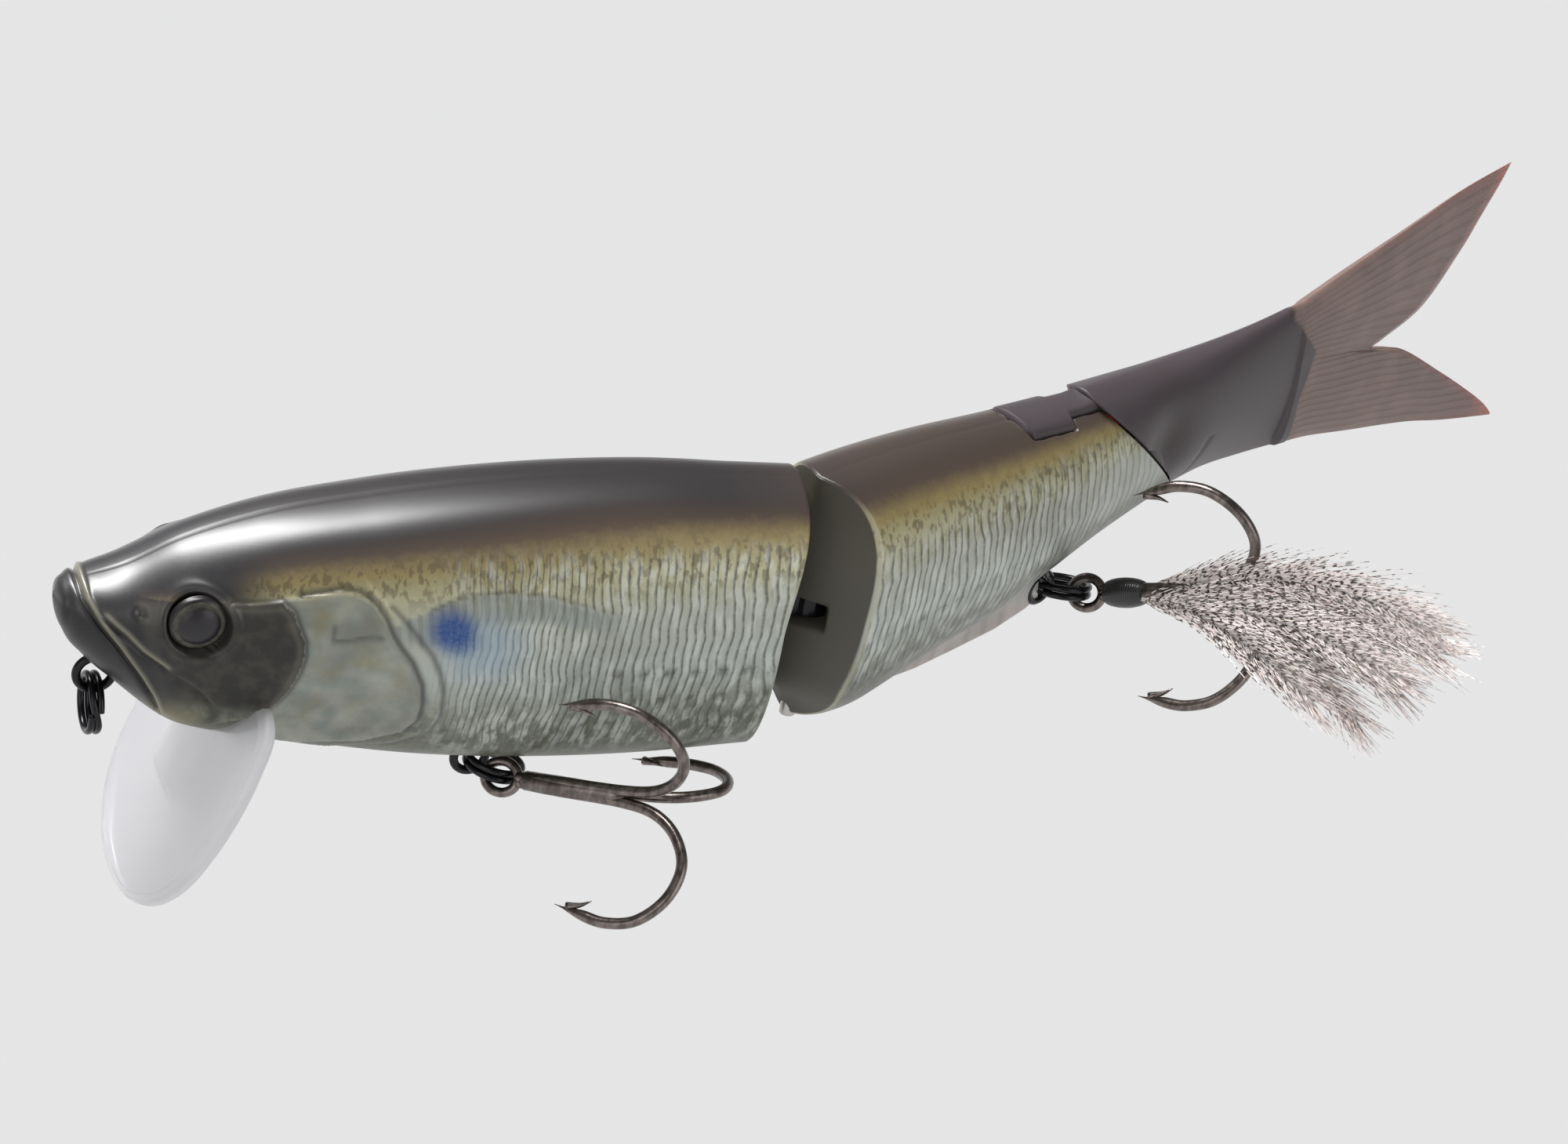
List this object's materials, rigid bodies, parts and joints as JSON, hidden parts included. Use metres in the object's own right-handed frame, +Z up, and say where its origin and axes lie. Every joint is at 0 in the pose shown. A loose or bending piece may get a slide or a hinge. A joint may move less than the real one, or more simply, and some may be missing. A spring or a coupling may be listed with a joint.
{
  "type": "jointed swimbait",
  "caption": "Two-section jointed fishing lure with a clear diving lip, split rings, treble hooks and a soft forked tail; its rear section swings on a vertical pin.",
  "frame": {"origin": "centre of the line-tie wire eye under the nose", "axes": "+X from nose to joint, +Y towards the fish's right side, +Z up"},
  "size_m": [0.1864, 0.082, 0.0544],
  "materials": {
    "body_paint": "glossy airbrushed fish pattern under clear coat",
    "eye_plastic": "glossy domed",
    "clear_plastic": "frosted clear",
    "black_wire": "black nickel wire",
    "black_nickel": "dark bronze-grey plated",
    "steel": "bright",
    "ballast": "dull metal",
    "soft_tail": "soft translucent",
    "fin_plastic": "translucent",
    "core_plastic": "moulded",
    "thread": "lacquered thread",
    "feather": "grizzly barred"
  },
  "bodies": {
    "front_section": {"head_shell_left": "body_paint", "head_shell_right": "body_paint", "eye_left": "eye_plastic", "eye_right": "eye_plastic", "diving_lip": "clear_plastic", "line_tie_eye": "black_wire", "front_ballast": "ballast", "belly_hook_hanger": "black_wire", "hinge_tongue": "steel"},
    "line_ring": {"line_tie_ring": "black_wire"},
    "front_ring": {"front_split_ring": "black_wire"},
    "front_treble": {"front_treble_hook": "black_nickel"},
    "rear_section": {"rear_shell_left": "body_paint", "rear_shell_right": "body_paint", "belly_fin": "fin_plastic", "hinge_pin": "steel", "rear_hook_hanger": "black_wire", "tail_peg": "core_plastic", "rear_ballast": "ballast", "tail_sleeve": "soft_tail"},
    "rear_ring": {"rear_split_ring": "black_wire"},
    "rear_treble": {"rear_treble_hook": "black_nickel", "thread_wrap": "thread", "hook_feather": "feather"},
    "tail": {"tail_fin": "soft_tail"}
  },
  "joints": [
    {"name": "body_joint", "type": "hinge", "parent": "front_section", "child": "rear_section", "pos_m": [0.078, 0, 0.0076], "axis": [0, 0, 1], "range_deg": [-63, 5]},
    {"name": "line_ring_swing", "type": "hinge", "parent": "front_section", "child": "line_ring", "pos_m": [0, 0, 0], "axis": [0, 1, 0], "range_deg": [-10, 90]},
    {"name": "front_ring_swing", "type": "hinge", "parent": "front_section", "child": "front_ring", "pos_m": [0.0427, 0, -0.0126], "axis": [0, 1, 0], "range_deg": [0, 75]},
    {"name": "front_hook_swing", "type": "hinge", "parent": "front_ring", "child": "front_treble", "pos_m": [0.0455, -0.00353, -0.0129], "axis": [0.9741, 0.01, -0.226], "range_deg": [0, 35]},
    {"name": "rear_ring_swing", "type": "hinge", "parent": "rear_section", "child": "rear_ring", "pos_m": [0.11237, 0.01905, -0.0056], "axis": [-0.4848, 0.8746, 0], "range_deg": [0, 75]},
    {"name": "rear_hook_swing", "type": "hinge", "parent": "rear_ring", "child": "rear_treble", "pos_m": [0.11769, 0.01778, -0.00571], "axis": [0.6155, 0.7218, -0.3163], "range_deg": [0, 35]},
    {"name": "tail_flex", "type": "hinge", "parent": "rear_section", "child": "tail", "pos_m": [0.13573, 0.032, 0.0096], "axis": [0, 0, 1], "range_deg": [-15, 15], "stiffness_Nm_per_rad": 0.02}
  ]
}
